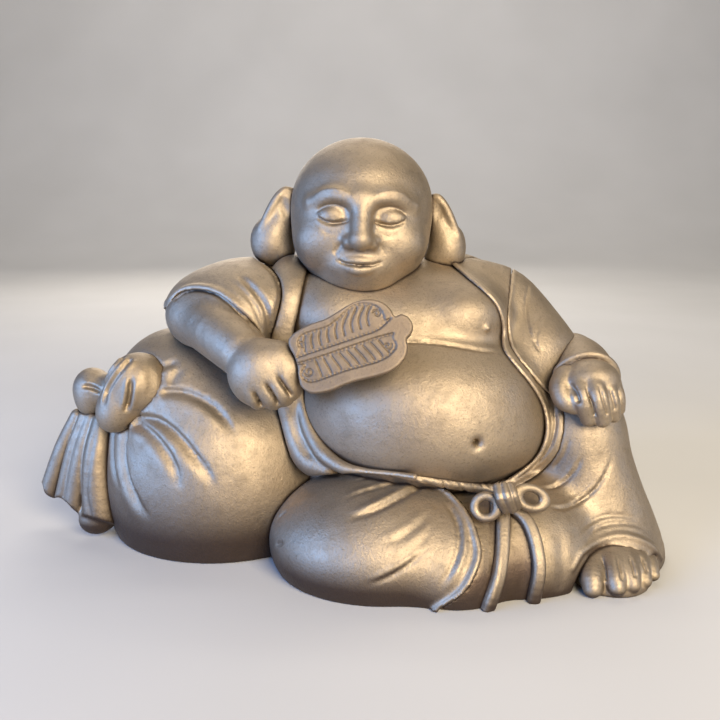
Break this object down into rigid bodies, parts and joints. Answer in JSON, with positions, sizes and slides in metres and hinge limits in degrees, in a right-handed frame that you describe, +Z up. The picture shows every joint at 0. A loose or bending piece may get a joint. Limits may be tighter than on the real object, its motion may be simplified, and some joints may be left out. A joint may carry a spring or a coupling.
{
  "type": "seated figurine",
  "caption": "Seated, smiling, bare-bellied monk figurine leaning on a tied cloth sack and holding a leaf fan, in bronze-coloured paint, to stand on a shelf or table.",
  "frame": {"origin": "on the surface it stands on, in the middle of its box seen from above", "axes": "+Z up, the figure faces -Y, its left hand is on the +X side"},
  "size_m": [0.2239, 0.1269, 0.1434],
  "materials": {
    "bronze_paint": "cold-cast resin with warm pewter-bronze metallic paint, satin, darker in the creases",
    "fan_paint": "the same casting resin with flatter, darker bronze paint",
    "pin_steel": "plain steel dowel",
    "felt": "thin wool felt, let in flush with the base"
  },
  "bodies": {
    "root": {"head": "bronze_paint", "right_ear": "bronze_paint", "left_ear": "bronze_paint", "torso": "bronze_paint", "robe_back": "bronze_paint", "right_sleeve": "bronze_paint", "right_arm": "bronze_paint", "right_lapel": "bronze_paint", "left_lapel": "bronze_paint", "left_sleeve": "bronze_paint", "left_cuff": "bronze_paint", "left_hand": "bronze_paint", "right_leg": "bronze_paint", "left_leg": "bronze_paint", "skirt": "bronze_paint", "left_foot": "bronze_paint", "belt": "bronze_paint", "bow_knot": "bronze_paint", "bow_loop_right": "bronze_paint", "bow_loop_left": "bronze_paint", "sash_tail_right": "bronze_paint", "sash_tail_left": "bronze_paint", "sack_body": "bronze_paint", "sack_knot_front": "bronze_paint", "sack_knot_rear": "bronze_paint", "sack_tail": "bronze_paint", "fan": "fan_paint", "felt_pad": "felt", "neck_pin": "pin_steel", "back_pin_upper": "pin_steel", "back_pin_lower": "pin_steel", "right_shoulder_pin": "pin_steel", "left_shoulder_pin": "pin_steel", "left_cuff_pin": "pin_steel", "left_wrist_pin": "pin_steel", "right_leg_pin": "pin_steel", "left_leg_pin": "pin_steel", "skirt_pin": "pin_steel", "foot_pin": "pin_steel", "sack_pin_upper": "pin_steel", "sack_pin_lower": "pin_steel", "knot_pin_front": "pin_steel", "knot_pin_rear": "pin_steel", "bow_pin": "pin_steel"}
  },
  "joints": []
}
